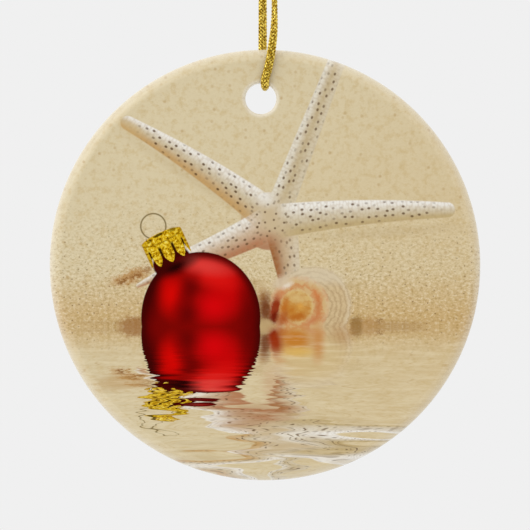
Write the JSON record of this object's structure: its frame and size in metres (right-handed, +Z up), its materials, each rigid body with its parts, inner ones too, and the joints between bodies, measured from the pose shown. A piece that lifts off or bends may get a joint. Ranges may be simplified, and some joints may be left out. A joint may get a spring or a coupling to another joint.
{
  "type": "round picture ornament",
  "caption": "Thin round glazed ceramic disc with a picture on its front, hung from a hole near its rim by a knotted loop of flat gold braid.",
  "frame": {"origin": "the point inside the top of the cord loop, under its knot, where a hook bears; the ornament hangs below it", "axes": "+Z up, against gravity; the picture faces -Y; +X is to the right of someone who looks at the picture"},
  "size_m": [0.073, 0.0063, 0.1471],
  "materials": {
    "porcelain": "fired, hidden under the glaze",
    "white_glaze": "glossy white glaze",
    "picture_coat": "glossy clear coat that holds a dyed picture of a beach",
    "gold_braid": "flat braid of metallic gold yarn"
  },
  "bodies": {
    "hanger": {"cord_front_leg": "gold_braid", "cord_back_leg": "gold_braid", "cord_knot": "gold_braid", "cord_front_tail": "gold_braid", "cord_back_tail": "gold_braid"},
    "bight": {"cord_bight": "gold_braid"},
    "disc": {"porcelain_disc": "porcelain", "glaze": "white_glaze", "picture_coat": "picture_coat"}
  },
  "joints": [
    {"name": "cord_twist", "type": "hinge", "parent": "hanger", "child": "bight", "pos_m": [0, 0, -0.068], "axis": [0, 0, 1], "range_deg": [-180, 180]},
    {"name": "disc_swing", "type": "hinge", "parent": "bight", "child": "disc", "pos_m": [0, 0, -0.068], "axis": [0, 1, 0], "range_deg": [-90, 90]}
  ]
}
